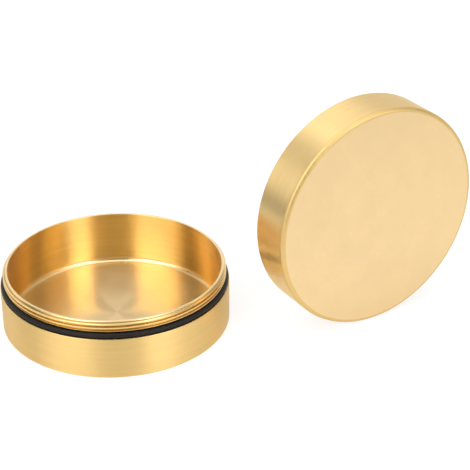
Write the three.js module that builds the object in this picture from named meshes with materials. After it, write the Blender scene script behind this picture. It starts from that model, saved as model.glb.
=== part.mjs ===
// Round brass box with a screw lid and a rubber sealing ring, shown open.
// The base stands on its underside at the origin, +Z up. The lid stands on its side to the right,
// with its top face towards -Y and its mouth towards +Y. Lengths are in millimetres.
// The screw threads are drawn as plain cylinders at their mean radius.

import * as THREE from 'three';

// Driving dimensions of the base
const outerDiameter = 60;
const bandHeight = 11.2; // underside to the shoulder that the lid closes on
const floorThickness = 0.8;
const floorFillet = 1.3; // inside corner between the floor and the wall
const footRound = 0.4; // outer edge of the underside
const shoulderBreak = 0.15; // outer edge of the shoulder
const neckWall = 0.35; // least wall, behind the sealing ring
const threadStand = 0.65; // mean radius of the thread above the ring's groove
const threadLength = 2.9; // from the top of the ring's groove to the rim
const leadIn = 0.5; // bevel that starts the lid on the thread
const rimBreak = 0.15; // inner edge of the rim

// Driving dimensions of the sealing ring
const sealSection = 1.4;
const shoulderLedge = 0.2; // shoulder left bare outside the ring
const sealGap = 0.1; // clearance of the ring from its groove and from the shoulder

// Driving dimensions of the lid
const lidTop = 1.4; // thickness of the flat top
const lidRoom = 4.9; // plain bore between the top and the thread
const lidEdgeRound = 1.1; // outer edge of the top
const mouthBreak = 0.08; // both edges of the lip
const lipWall = 0.3; // lip round the sealing ring
const sealSqueeze = 0.3; // how far the closed lid presses the ring down
const threadClearance = 0.15; // radial play between the two threads
const reliefDepth = 0.4; // groove that ends the lid's thread
const reliefWidth = 1.1;
const neckTopClearance = 0.6; // between the neck's rim and the lid's step when closed

// Where the lid is stood, measured from the side and from the front of the base
const standAside = 27.2;
const standAhead = 7.8;

// Finish of the surfaces
const facets = 72;
const roundSteps = 4;
const sealSides = 12;

// Derived sizes of the base, from the outside in
const outerRadius = outerDiameter / 2;
const grooveRadius = outerRadius - shoulderLedge - sealSection - sealGap;
const boreRadius = grooveRadius - neckWall;
const neckRadius = grooveRadius + threadStand;
const grooveHeight = sealSection + 2 * sealGap;
const grooveTop = bandHeight + grooveHeight;
const rimHeight = grooveTop + threadLength;

// Derived sizes of the lid, from its mouth up
const lipRadius = outerRadius - lipWall;
const lipDepth = sealSection - sealSqueeze;
const lidThreadRadius = neckRadius + threadClearance;
const reliefRadius = lidThreadRadius + reliefDepth;
const lidStep = rimHeight - bandHeight + neckTopClearance;
const reliefStart = lidStep - Math.min(reliefWidth, (lidStep - lipDepth) / 2);
const lidCeiling = lidStep + lidRoom;
const lidDepth = lidCeiling + lidTop;

// Turned profile through corners [radius, height, rounding, steps], from the lower end on the axis,
// out and up, to the upper end on the axis. One step bevels a corner, more steps round it, and a
// rounding never takes more than half of the shorter side beside it.
function turnedProfile(corners) {
  const at = corners.map(([radius, height]) => new THREE.Vector2(radius, height));
  const points = [];
  corners.forEach(([, , rounding = 0, steps = roundSteps], i) => {
    if (!rounding) {
      points.push(at[i]);
      return;
    }
    const back = at[i - 1].clone().sub(at[i]);
    const ahead = at[i + 1].clone().sub(at[i]);
    const reach = Math.min(rounding, back.length() / 2, ahead.length() / 2);
    const from = at[i].clone().addScaledVector(back.normalize(), reach);
    const to = at[i].clone().addScaledVector(ahead.normalize(), reach);
    const centre = from.clone().add(to).sub(at[i]);
    for (let k = 0; k <= steps; k += 1) {
      const turn = (k / steps) * Math.PI / 2;
      const arc = centre.clone();
      arc.addScaledVector(from.clone().sub(centre), Math.cos(turn));
      arc.addScaledVector(to.clone().sub(centre), Math.sin(turn));
      points.push(k === 0 ? from : k === steps ? to : arc);
    }
  });
  return points;
}

// A profile turned about +Z.
function turned(points) {
  return new THREE.LatheGeometry(points, facets).rotateX(Math.PI / 2);
}

function brass(color, roughness) {
  return new THREE.MeshStandardMaterial({ color, roughness, metalness: 1 });
}

// Base: one turned cup. Its neck carries the thread, and the groove at the foot of the neck, above
// the shoulder, holds the sealing ring.
const baseCup = new THREE.Mesh(
  turned(turnedProfile([
    [0, 0],
    [outerRadius, 0, footRound],
    [outerRadius, bandHeight, shoulderBreak, 1],
    [grooveRadius, bandHeight],
    [grooveRadius, grooveTop],
    [neckRadius, grooveTop],
    [neckRadius, rimHeight, leadIn, 1],
    [boreRadius, rimHeight, rimBreak, 1],
    [boreRadius, floorThickness, floorFillet],
    [0, floorThickness],
  ])),
  brass(0xdeb776, 0.32),
);
baseCup.name = 'base_cup';

// Sealing ring: a round-section rubber ring stretched into the groove, lying on the shoulder.
const sealRadius = sealSection / 2;
const sealProfile = Array.from({ length: sealSides + 1 }, (_, i) => {
  const turn = (i % sealSides) / sealSides * Math.PI * 2;
  return new THREE.Vector2(
    grooveRadius + sealGap + sealRadius + sealRadius * Math.cos(turn),
    sealRadius * Math.sin(turn),
  );
});
const sealingRing = new THREE.Mesh(
  turned(sealProfile),
  new THREE.MeshStandardMaterial({ color: 0x2b2928, roughness: 0.45, metalness: 0 }),
);
sealingRing.name = 'sealing_ring';
sealingRing.position.z = bandHeight + sealGap + sealRadius;

// Lid: a turned cap. From the mouth up it has the lip that goes round the sealing ring, the thread,
// the relief groove where the thread ends, the step over the neck's rim and the plain bore.
const lid = new THREE.Mesh(
  turned(turnedProfile([
    [0, lidCeiling],
    [boreRadius, lidCeiling, floorFillet],
    [boreRadius, lidStep],
    [reliefRadius, lidStep],
    [reliefRadius, reliefStart],
    [lidThreadRadius, reliefStart],
    [lidThreadRadius, lipDepth],
    [lipRadius, lipDepth],
    [lipRadius, 0, mouthBreak, 1],
    [outerRadius, 0, mouthBreak, 1],
    [outerRadius, lidDepth, lidEdgeRound],
    [0, lidDepth],
  ])),
  brass(0xf2d19c, 0.38),
);
lid.name = 'lid';

// The lid stands on its side: its own +Z, towards its top face, is laid along -Y.
const standingLid = new THREE.Group();
standingLid.add(lid);
standingLid.rotation.x = Math.PI / 2;
standingLid.position.set(
  outerRadius + standAside,
  lidDepth - outerRadius - standAhead,
  outerRadius,
);

const box = new THREE.Group();
box.add(baseCup, sealingRing, standingLid);

export default box;
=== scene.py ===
import math

import bpy
import numpy as np
from mathutils import Matrix, Vector


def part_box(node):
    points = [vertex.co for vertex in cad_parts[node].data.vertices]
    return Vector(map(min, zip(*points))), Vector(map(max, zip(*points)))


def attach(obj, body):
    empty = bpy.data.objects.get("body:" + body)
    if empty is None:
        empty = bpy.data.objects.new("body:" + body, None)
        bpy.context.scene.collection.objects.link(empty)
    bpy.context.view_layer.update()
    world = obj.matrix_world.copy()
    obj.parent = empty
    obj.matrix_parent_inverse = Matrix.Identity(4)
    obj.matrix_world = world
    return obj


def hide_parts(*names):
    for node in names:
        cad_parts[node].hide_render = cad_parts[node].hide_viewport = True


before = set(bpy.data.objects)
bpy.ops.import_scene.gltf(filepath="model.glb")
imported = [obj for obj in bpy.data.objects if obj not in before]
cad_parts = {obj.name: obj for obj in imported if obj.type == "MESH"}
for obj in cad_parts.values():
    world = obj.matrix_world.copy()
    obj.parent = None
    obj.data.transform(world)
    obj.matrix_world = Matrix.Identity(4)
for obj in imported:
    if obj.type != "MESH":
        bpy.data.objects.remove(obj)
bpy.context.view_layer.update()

# Base cup. One piece of brass turned on a lathe: a satin band brushed round the outside, a shoulder,
# and a thin neck that carries a right-handed screw thread. The inside is turned bright, and its floor
# keeps the rings of the facing cut. Lengths are in millimetres.
MM = 0.001
# Points round the axis and on a rounded corner, and the radius of the ring of points next to the axis
AROUND = 320
ARC_POINTS = 9
POLE = 0.5
base_high = np.array(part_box("base_cup")[1]) / MM
seal_low, seal_high = np.array(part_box("sealing_ring")) / MM
OUTER_RADIUS = base_high[0]
RIM_HEIGHT = base_high[2]
SEAL_GAP = 0.1
SEAL_SECTION = seal_high[2] - seal_low[2]
SHOULDER_LEDGE = 0.2
BAND_HEIGHT = seal_low[2] - SEAL_GAP
GROOVE_RADIUS = seal_high[0] - SEAL_SECTION - SEAL_GAP
GROOVE_TOP = seal_high[2] + SEAL_GAP
GROOVE_CORNER = 0.1
NECK_WALL = 0.35
BORE_RADIUS = GROOVE_RADIUS - NECK_WALL
FLOOR_HEIGHT = 0.8
FLOOR_FILLET = 1.3
FOOT_ROUND = 0.4
EDGE_BREAK = 0.15
THREAD_PITCH = 1.0
THREAD_DEPTH = 0.5
ROOT_STAND = 0.4
THREAD_ROOT = GROOVE_RADIUS + ROOT_STAND
CREST_DROP = 0.7
THREAD_CREST = RIM_HEIGHT - CREST_DROP
THREAD_FADE = 0.3
THREAD_ROWS = 150
# How steep the flanks of the tooth are, and how much narrower it is than the gap
TOOTH_STEEPNESS = 2.4
TOOTH_NARROWING = 0.7
LEAD_IN = 0.2
THREAD_TOP = RIM_HEIGHT - LEAD_IN
# The turn round the axis that faces the camera, where the crest heights are given
FRONT = math.radians(243.7)
# How far the middle of a face may lie from the surface that it belongs to
SLACK = 0.02


def turned_profile(corners, longest=1.2, support=0.06):
    """Points of a lathe profile through corners (radius, height, rounding): each corner becomes a quarter
    arc of its rounding, and each straight run is cut into steps no longer than longest, with one more point
    close to each end so that smooth shading stays flat on the flats."""
    at = np.array([corner[:2] for corner in corners], float)
    rounding = [corner[2] if len(corner) > 2 else 0.0 for corner in corners]
    arcs = []
    for i, (here, radius) in enumerate(zip(at, rounding)):
        if radius == 0.0:
            arcs.append(here[None])
            continue
        back = (at[i - 1] - here) / np.linalg.norm(at[i - 1] - here)
        ahead = (at[i + 1] - here) / np.linalg.norm(at[i + 1] - here)
        centre = here + radius * (back + ahead)
        turn = np.linspace(0, np.pi / 2, ARC_POINTS)[:, None]
        arcs.append(centre - radius * ahead * np.cos(turn) - radius * back * np.sin(turn))
    points = [arcs[0]]
    for before, after in zip(arcs[:-1], arcs[1:]):
        run = after[0] - before[-1]
        length = np.linalg.norm(run)
        steps = np.linspace(0, 1, max(math.ceil(length / longest), 1) + 1)[1:-1]
        if length > 4 * support:
            steps = np.unique(np.concatenate([steps, [support / length, 1 - support / length]]))
        points += [before[-1] + steps[:, None] * run, after]
    return np.concatenate(points)


def threaded(profile, bottom, top, root, depth, crest):
    """Radius and height grids of a profile that is turned and threaded. The profile's run at the root radius
    from bottom to top is cut finer, and there the radius is the root plus depth times a tooth, a cosine
    flattened at crest and root, of the phase (height - crest) / pitch - (turn - front) / 2 pi. The tooth
    fades in from the bottom, and a bevel of 45 degrees cuts it at the top."""
    at_root = np.isclose(profile[:, 0], root)
    run = np.flatnonzero(at_root & (profile[:, 1] >= bottom) & (profile[:, 1] <= top))
    finer = np.linspace(profile[run[0], 1], profile[run[-1], 1], THREAD_ROWS)
    wall = np.stack([np.full_like(finer, root), finer], axis=1)
    profile = np.concatenate([profile[:run[0]], wall, profile[run[-1] + 1:]])
    radius = np.repeat(profile[:, :1], AROUND, axis=1)
    height = np.repeat(profile[:, 1:], AROUND, axis=1)
    turn = np.arange(AROUND) * 2 * np.pi / AROUND
    phase = (height - crest) / THREAD_PITCH - (turn - FRONT) / (2 * np.pi)
    wave = np.clip(TOOTH_STEEPNESS * np.cos(2 * np.pi * phase) - TOOTH_NARROWING, -1, 1)
    tooth = 0.5 + 0.5 * np.sin(np.pi / 2 * wave)
    fade = np.clip((height - bottom) / THREAD_FADE, 0, 1)
    bevel = np.maximum(top - height, 0)
    on_wall = np.zeros(len(profile), bool)
    on_wall[run[0]:run[0] + len(finer)] = True
    cut = np.sign(depth) * np.minimum(np.abs(depth) * tooth * fade, bevel)
    return radius + on_wall[:, None] * cut, height


def turned_piece(name, radius, height, closed=False):
    """Surface of revolution on a grid: row v, column u is the point (radius cos turn, radius sin turn,
    height) at turn = 2 pi u / columns. An open profile ends in a pole on the axis at each end, and a closed
    one joins up."""
    rows, columns = radius.shape
    turn = np.arange(columns) * 2 * np.pi / columns
    grid = np.stack([radius * np.cos(turn), radius * np.sin(turn), height], axis=-1).reshape(-1, 3)
    u = np.arange(columns)
    beside = (u + 1) % columns
    v = np.arange(rows if closed else rows - 1)[:, None]
    above = (v + 1) % rows
    quads = [v * columns + u, v * columns + beside, above * columns + beside, above * columns + u]
    faces = np.stack(quads, axis=-1).reshape(-1, 4).tolist()
    if not closed:
        low, high, last = len(grid), len(grid) + 1, (rows - 1) * columns
        grid = np.concatenate([grid, [[0, 0, height[0].mean()], [0, 0, height[-1].mean()]]])
        faces += np.stack([np.full(columns, low), beside, u], axis=-1).tolist()
        faces += np.stack([np.full(columns, high), last + u, last + beside], axis=-1).tolist()
    mesh = bpy.data.meshes.new(name)
    mesh.from_pydata(grid * MM, [], faces)
    mesh.polygons.foreach_set("use_smooth", np.ones(len(faces), bool))
    piece = bpy.data.objects.new(name, mesh)
    bpy.context.scene.collection.objects.link(piece)
    return piece


def face_middles(piece):
    """Middles of a piece's faces in millimetres, one row each."""
    middles = np.zeros(len(piece.data.polygons) * 3)
    piece.data.polygons.foreach_get("center", middles)
    return middles.reshape(-1, 3) / MM


def finished(piece, finishes, region):
    """Gives a piece its finishes, and each face the one whose number stands in region."""
    for finish in finishes:
        piece.data.materials.append(finish)
    piece.data.polygons.foreach_set("material_index", region.astype(np.int32))


class Wire:
    """One output socket of a shader node, or a bare node tree to start from. Arithmetic on wires and numbers
    adds Math nodes to the tree."""

    def __init__(self, tree, socket=None):
        self.tree = tree
        self.socket = socket

    def node(self, kind, settings, inputs, output=0):
        """Adds a node of a kind, with its settings first and then numbers or wires on its sockets."""
        made = self.tree.nodes.new(kind)
        for key, value in settings.items():
            setattr(made, key, value)
        for key, value in inputs.items():
            if isinstance(value, Wire):
                self.tree.links.new(value.socket, made.inputs[key])
            else:
                made.inputs[key].default_value = value
        return Wire(self.tree, made.outputs[output])

    def into(self, socket):
        self.tree.links.new(self.socket, socket)

    def maths(self, operation, first, second=0.0):
        return self.node("ShaderNodeMath", {"operation": operation}, {0: first, 1: second})

    def __add__(self, other):
        return self.maths("ADD", self, other)

    def __radd__(self, other):
        return self.maths("ADD", other, self)

    def __sub__(self, other):
        return self.maths("SUBTRACT", self, other)

    def __rsub__(self, other):
        return self.maths("SUBTRACT", other, self)

    def __mul__(self, other):
        return self.maths("MULTIPLY", self, other)

    def __rmul__(self, other):
        return self.maths("MULTIPLY", other, self)

    def __truediv__(self, other):
        return self.maths("DIVIDE", self, other)

    def above(self, level, width):
        """0 below a level and 1 above it, with a smooth step of a width."""
        ends = {"Value": self, "From Min": level - width / 2, "From Max": level + width / 2}
        return self.node("ShaderNodeMapRange", {"interpolation_type": "SMOOTHSTEP"}, ends)

    def between(self, low, high, width):
        return self.above(low, width) * (1 - self.above(high, width))

    def dot(self, direction):
        ends = {0: self, 1: direction}
        return self.node("ShaderNodeVectorMath", {"operation": "DOT_PRODUCT"}, ends, "Value")

    def part(self, letter):
        return self.node("ShaderNodeSeparateXYZ", {}, {0: self}, letter)

    def noise(self, scale, detail):
        inputs = {"Vector": self, "Scale": scale, "Detail": detail, "Roughness": 0.55}
        return self.node("ShaderNodeTexNoise", {"noise_dimensions": "3D"}, inputs, "Fac")

    def tint(self, dark, light):
        """A colour from dark at 0 to light at 1. Each end is three numbers or a wire."""
        ends = {key: end if isinstance(end, Wire) else (*end, 1) for key, end in (("A", dark), ("B", light))}
        return self.node("ShaderNodeMix", {"data_type": "RGBA"}, {"Factor": self, **ends}, 2)


def new_material(name):
    """A new material, its Principled shader, and a wire of the Object coordinates in its tree."""
    material = bpy.data.materials.new(name)
    material.use_nodes = True
    place = Wire(material.node_tree).node("ShaderNodeTexCoord", {}, {}, "Object")
    return material, material.node_tree.nodes["Principled BSDF"], place


# Brass: changes of its marks round the axis, its clouds to the metre, the range of its tone, and what is
# left of each channel under the painted shade in a thread's grooves
MARKS_ROUND = 1.5
CLOUDS = 150.0
DARKEST = 0.93
LIGHTEST = 1.05
GROOVE_SHADE = (0.62, 0.58, 0.34)


def turned_brass(name, colour, roughness, stretch=0.0, turn=0.0, streak=1.0, mark=0.6, root=None,
                 axis="Z", centre=(0, 0, 0)):
    """Brass with tool marks that run round an axis. The marks are noise at (direction from the axis times a
    few, radius + height in mark lengths of so many mm), so they follow walls, floors and edges alike.
    Stretch and turn are the shader's anisotropy, which draws a reflection out across the marks. Below the
    radius of a thread's root, where one is given, the brass is darker: painted shade in the grooves."""
    material, shader, place = new_material(name)
    middle = place.node("ShaderNodeVectorMath", {"operation": "SUBTRACT"}, {0: place, 1: centre})
    x, side, along = (middle.part(letter) for letter in ("XYZ" if axis == "Z" else "XZY"))
    radius = place.maths("SQRT", x * x + side * side)
    across = (radius + along) / MM
    ring = {"X": x / radius * MARKS_ROUND, "Y": side / radius * MARKS_ROUND}
    fine = place.node("ShaderNodeCombineXYZ", {}, {**ring, "Z": across * (2.5 / mark)}).noise(1.0, 1.0)
    marks = place.node("ShaderNodeCombineXYZ", {}, {**ring, "Z": across / mark}).noise(1.0, 1.0)
    cloud = middle.noise(CLOUDS, 3.0)
    shade = 0.5 + (marks - 0.5) * 1.4 * streak + (cloud - 0.5) * 1.0
    brass = shade.tint([DARKEST * part for part in colour], [min(LIGHTEST * part, 1) for part in colour])
    # Painted shade: the brass is darker in the thread's grooves, below the root's radius
    if root:
        groove_shade = [share * part for share, part in zip(GROOVE_SHADE, colour)]
        brass = (radius / MM).above(root, 0.2).tint(groove_shade, brass)
    brass.into(shader.inputs["Base Color"])
    (roughness + (marks - 0.5) * 0.12 * streak + (cloud - 0.5) * 0.10).into(shader.inputs["Roughness"])
    bump = {"Height": fine * 0.4 + marks * 0.6, "Strength": 0.1 * streak, "Distance": 0.02 * MM}
    place.node("ShaderNodeBump", {}, bump).into(shader.inputs["Normal"])
    shader.inputs["Metallic"].default_value = 1.0
    shader.inputs["Anisotropic"].default_value = stretch
    shader.inputs["Anisotropic Rotation"].default_value = turn
    return material


base_profile = turned_profile([
    (POLE, 0),
    (OUTER_RADIUS, 0, FOOT_ROUND),
    (OUTER_RADIUS, BAND_HEIGHT, EDGE_BREAK),
    (GROOVE_RADIUS, BAND_HEIGHT, GROOVE_CORNER),
    (GROOVE_RADIUS, GROOVE_TOP, GROOVE_CORNER),
    (THREAD_ROOT, GROOVE_TOP),
    (THREAD_ROOT, THREAD_TOP),
    (THREAD_ROOT - LEAD_IN, RIM_HEIGHT),
    (BORE_RADIUS, RIM_HEIGHT, EDGE_BREAK),
    (BORE_RADIUS, FLOOR_HEIGHT, FLOOR_FILLET),
    (POLE, FLOOR_HEIGHT),
])
base_cup = turned_piece("base_cup_turned", *threaded(
    base_profile, GROOVE_TOP, THREAD_TOP, THREAD_ROOT, THREAD_DEPTH, THREAD_CREST))
# A quarter turn of the anisotropy, because the shader's own direction runs round the base's axis
ACROSS = 0.25
# How far above the thread's root the painted groove shade reaches, in mm
GROOVE_SHADE_DEPTH = 0.13
band_brass = turned_brass("band_brushed_brass", (0.92, 0.645, 0.255), 0.44, 0.85, ACROSS)
# Inside the cup the brass is deeper and less blue than the band's: painted shade for the light that bounces
# between its walls.
inside_shade_brass = turned_brass("inside_turned_painted_shade_brass", (0.89, 0.63, 0.235), 0.33, 0.97, ACROSS, mark=0.8)
neck_brass = turned_brass(
    "neck_turned_brass", (0.95, 0.68, 0.31), 0.28, streak=0.3, root=THREAD_ROOT + GROOVE_SHADE_DEPTH)
# The faced floor's brass is paler than the rest: a painted highlight. Its rings are the facing cut.
floor_highlight_brass = turned_brass(
    "floor_faced_painted_highlight_brass", (1.0, 0.75, 0.41), 0.30, 0.92, ACROSS, streak=0.4, mark=1.5)
# The rim's top and the fillet at the foot of the inside wall get a paler brass: a painted highlight.
rim_highlight_brass = turned_brass("rim_faced_painted_highlight_brass", (0.98, 0.73, 0.39), 0.29, streak=0.3)
middles = face_middles(base_cup)
reach, rise = np.hypot(middles[:, 0], middles[:, 1]), middles[:, 2]
inside = (rise > FLOOR_HEIGHT - SLACK) & (reach < BORE_RADIUS + SLACK)
faced = inside & (rise < FLOOR_HEIGHT + SLACK)
# The fillet at the foot of the inside wall, which takes the rim's painted highlight
corner = inside & (rise < FLOOR_HEIGHT + FLOOR_FILLET)
rim = (rise > THREAD_TOP) & (reach > BORE_RADIUS + SLACK)
neck = (rise > BAND_HEIGHT - SLACK) & (reach < OUTER_RADIUS - SHOULDER_LEDGE)
finished(base_cup, [band_brass, inside_shade_brass, neck_brass, floor_highlight_brass, rim_highlight_brass],
         np.select([faced, rim | corner, inside, neck], [3, 4, 1, 2], 0))
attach(base_cup, "base")
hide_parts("base_cup")

# Sealing ring. A black rubber ring of round section, moulded, stretched over the neck into the groove
# at its foot. It lies on the shoulder, and the closed lid presses on it.
SEAL_SIDES = 48
SEAL_LIFT = 0.01
seal_turn = np.arange(SEAL_SIDES) * 2 * np.pi / SEAL_SIDES
seal_radius = seal_high[0] - SEAL_SECTION / 2 + SEAL_SECTION / 2 * np.cos(seal_turn)
seal_height = BAND_HEIGHT + SEAL_LIFT + SEAL_SECTION / 2 + SEAL_SECTION / 2 * np.sin(seal_turn)
sealing_ring = turned_piece(
    "sealing_ring_moulded", np.repeat(seal_radius[:, None], AROUND, axis=1),
    np.repeat(seal_height[:, None], AROUND, axis=1), closed=True)
rubber, rubber_shader, place = new_material("black_seal_rubber")
grain = place.noise(900.0, 3.0)
bloom = place.noise(140.0, 2.0)
bloom.tint((0.009, 0.0075, 0.007), (0.018, 0.014, 0.013)).into(rubber_shader.inputs["Base Color"])
(0.40 + grain * 0.16).into(rubber_shader.inputs["Roughness"])
rubber_shader.inputs["Specular IOR Level"].default_value = 0.25
rubber_bump = {"Height": grain, "Strength": 0.2, "Distance": 0.03 * MM}
place.node("ShaderNodeBump", {}, rubber_bump).into(rubber_shader.inputs["Normal"])
sealing_ring.data.materials.append(rubber)
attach(sealing_ring, "base")
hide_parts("sealing_ring")

# Lid. A cap turned from one piece of brass, with a flat satin top, a rounded top edge and a brushed side.
# Inside are the lip that goes round the sealing ring, the thread, the relief groove that ends it, and a
# plain bore. It stands on its side beside the base, top face towards -Y.
lid_low, lid_high = np.array(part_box("lid")) / MM
LID_DEPTH = lid_high[1] - lid_low[1]
LID_TOP = 1.4
LID_CEILING = LID_DEPTH - LID_TOP
LID_EDGE = 1.1
RIM_CLEARANCE = 0.6
LID_STEP = RIM_HEIGHT - BAND_HEIGHT + RIM_CLEARANCE
LIP_WALL = 0.3
LIP_RADIUS = OUTER_RADIUS - LIP_WALL
SEAL_SQUEEZE = 0.3
LIP_DEPTH = SEAL_SECTION - SEAL_SQUEEZE
LIP_BREAK = 0.08
THREAD_PLAY = 0.13
LID_ROOT = THREAD_ROOT + THREAD_DEPTH + THREAD_PLAY
CREST_RISE = 0.6
LID_CREST = LIP_DEPTH + CREST_RISE
RELIEF_DEPTH = 0.17
RELIEF_RADIUS = LID_ROOT + RELIEF_DEPTH
RELIEF_WIDTH = 1.1
RELIEF_START = LID_STEP - RELIEF_WIDTH
LID_PLACE = np.array([(lid_low[0] + lid_high[0]) / 2, lid_high[1], (lid_low[2] + lid_high[2]) / 2])
lid_profile = turned_profile([
    (POLE, LID_CEILING),
    (BORE_RADIUS, LID_CEILING, FLOOR_FILLET),
    (BORE_RADIUS, LID_STEP, EDGE_BREAK),
    (RELIEF_RADIUS, LID_STEP, GROOVE_CORNER),
    (RELIEF_RADIUS, RELIEF_START),
    (LID_ROOT, RELIEF_START),
    (LID_ROOT, LIP_DEPTH),
    (LIP_RADIUS, LIP_DEPTH),
    (LIP_RADIUS, 0, LIP_BREAK),
    (OUTER_RADIUS, 0, LIP_BREAK),
    (OUTER_RADIUS, LID_DEPTH, LID_EDGE),
    (POLE, LID_DEPTH),
])
lid = turned_piece("lid_turned", *threaded(
    lid_profile, LIP_DEPTH, RELIEF_START, LID_ROOT, -THREAD_DEPTH, LID_CREST))
points = np.zeros(len(lid.data.vertices) * 3)
lid.data.vertices.foreach_get("co", points)
points = points.reshape(-1, 3)
stood = np.stack([points[:, 0], -points[:, 2], points[:, 1]], axis=1) + LID_PLACE * MM
lid.data.vertices.foreach_set("co", stood.ravel())
# The shader's own direction turns round the middle of the texture space. With that middle far off to the
# left, the direction runs along the lid's axis, across its brushing.
lid.data.use_auto_texspace = False
lid.data.texspace_location = (-10, LID_PLACE[1] * MM, LID_PLACE[2] * MM)
lid.data.texspace_size = (1, 1, 1)
round_lid = {"axis": "Y", "centre": tuple(LID_PLACE * MM)}
top_brass = turned_brass("lid_top_satin_brass", (0.93, 0.69, 0.37), 0.40, streak=0.12, **round_lid)
side_brass = turned_brass("lid_side_brushed_brass", (0.95, 0.69, 0.31), 0.38, 0.94, streak=0.6, **round_lid)
bore_brass = turned_brass("lid_bore_turned_brass", (0.93, 0.69, 0.36), 0.32, **round_lid)
# The rounded top edge is a darker brass than the top: painted shade that tones down its highlight. It is
# also rougher, as satin.
edge_shade_brass = turned_brass("lid_edge_satin_painted_shade_brass", (0.86, 0.61, 0.25), 0.52, streak=0.3, **round_lid)
middles = face_middles(lid) - LID_PLACE
reach, rise = np.hypot(middles[:, 0], middles[:, 2]), -middles[:, 1]
flat = rise > LID_DEPTH - SLACK / 2
edge = rise > LID_DEPTH - LID_EDGE
side = reach > LIP_RADIUS + LIP_BREAK
finished(lid, [top_brass, side_brass, bore_brass, edge_shade_brass],
         np.select([flat, edge, side], [0, 3, 1], 2))
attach(lid, "lid")
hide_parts("lid")

# Camera. A long lens in front of the box and above it, a little to the left, at the photograph's viewpoint.
LENS = 109.0
HEADING = math.radians(31.9)
PITCH = math.radians(28.5)
EYE = Vector((-0.1444, -0.2916, 0.20005))
ahead = Vector((math.sin(HEADING), math.cos(HEADING), 0))
right = Vector((math.cos(HEADING), -math.sin(HEADING), 0))
look = ahead * math.cos(PITCH) + Vector((0, 0, -math.sin(PITCH)))
facing = Matrix((right, right.cross(look), -look)).transposed().to_4x4()
camera = bpy.data.objects.new("camera", bpy.data.cameras.new("camera"))
bpy.context.scene.collection.objects.link(camera)
camera.data.sensor_width = 36
camera.data.lens = LENS
camera.data.clip_start = 0.01
camera.matrix_world = Matrix.Translation(EYE) @ facing
bpy.context.scene.camera = camera

# Floor. A plain white table top. The camera sees it white with the object's soft shadow on it. In the metal
# it is white in front of the box and dimmer behind it, and the room is dark beyond its edge.
FLOOR_REACH = 0.28
FLOOR_DROP = 0.05
# How much of the floor's white the camera sees, and the metal behind the box and in front of it
CAMERA_WHITE = 0.6
BEHIND_WHITE = 0.1
FRONT_WHITE = 0.55
corners = np.array([(-1, -1), (1, -1), (1, 1), (-1, 1)]) * FLOOR_REACH
floor_mesh = bpy.data.meshes.new("floor")
floor_mesh.from_pydata([(x, y, -FLOOR_DROP * MM) for x, y in corners], [], [(0, 1, 2, 3)])
floor = bpy.data.objects.new("floor", floor_mesh)
bpy.context.scene.collection.objects.link(floor)
table_top, _, spot = new_material("white_table_top")
camera_ray = spot.node("ShaderNodeLightPath", {}, {}, "Is Camera Ray")
glossy_ray = spot.node("ShaderNodeLightPath", {}, {}, "Is Glossy Ray")
in_front = spot.dot(right * 0.25 - ahead).above(0.016, 0.06)
metal_white = BEHIND_WHITE + in_front * (FRONT_WHITE - BEHIND_WHITE)
seen = camera_ray * CAMERA_WHITE + glossy_ray * metal_white
matt = spot.node("ShaderNodeBsdfDiffuse", {}, {"Color": (0.7, 0.7, 0.7, 1)})
white = spot.node("ShaderNodeEmission", {}, {"Color": (1, 1, 1, 1), "Strength": 1.3})
surface = spot.node("ShaderNodeMixShader", {}, {0: seen, 1: matt, 2: white})
surface.into(table_top.node_tree.nodes["Material Output"].inputs["Surface"])
floor_mesh.materials.append(table_top)

# Studio. Two soft boxes beside the camera, dimmer panels along both sides, a backdrop behind the box and
# light from overhead, all in the world, and a room that is nearly dark between them. The camera sees white.
# Headings are in degrees from the camera to its right, and rises in degrees from the horizon.
world = bpy.data.worlds.new("studio")
bpy.context.scene.world = world
world.use_nodes = True
background = world.node_tree.nodes["Background"]
way = Wire(world.node_tree).node("ShaderNodeTexCoord", {}, {}, "Generated")
heading = way.maths("ARCTAN2", way.dot(right), way.dot(-ahead)) * math.degrees(1)
rise = way.maths("ARCSINE", way.part("Z")) * math.degrees(1)
left_box = heading.above(-68, 16) * (1 - heading.above(-20, 5)) * rise.between(8, 62, 10)
right_box = heading.above(32, 4) * (1 - heading.above(60, 12)) * rise.between(4, 58, 10)
left_wall = heading.between(-116, -98, 10) * rise.between(4, 26, 6)
left_low = heading.between(-126, -90, 10) * rise.between(-30, 4, 6)
left_side = heading.between(-152, -112, 14) * rise.between(4, 62, 8)
left_high = heading.between(-146, -121, 8) * rise.between(33, 62, 8)
left_upper = heading.between(-112, -66, 12) * rise.between(36, 60, 10)
right_low = heading.between(60, 86, 10) * rise.between(4, 24, 6)
right_high = heading.between(58, 110, 12) * rise.between(34, 60, 10)
right_side = heading.between(106, 150, 10) * rise.between(4, 62, 8)
right_far = heading.between(88, 160, 10) * rise.between(-30, 5, 6)
backdrop = (1 - heading.between(-152, 150, 14)) * (1 - rise.above(57, 10))
overhead = rise.above(60, 10)
light = 0.09 + left_box * 2.7 + right_box * 3.2
light = light + left_wall * 1.2 + left_low * 0.7 + left_side * 0.62 + left_high * 0.85 + left_upper * 0.2
light = light + right_low * 1.4 + right_high * 0.4 + right_side * 0.42 + right_far * 0.85
light = light + backdrop * (1.0 - rise.above(28, 18) * 0.26) + overhead * 1.45
direct = way.node("ShaderNodeLightPath", {}, {}, "Is Camera Ray")
(direct + (1 - direct) * light).into(background.inputs["Strength"])
background.inputs["Color"].default_value = (1, 1, 1, 1)

bpy.context.scene.view_settings.view_transform = "Standard"
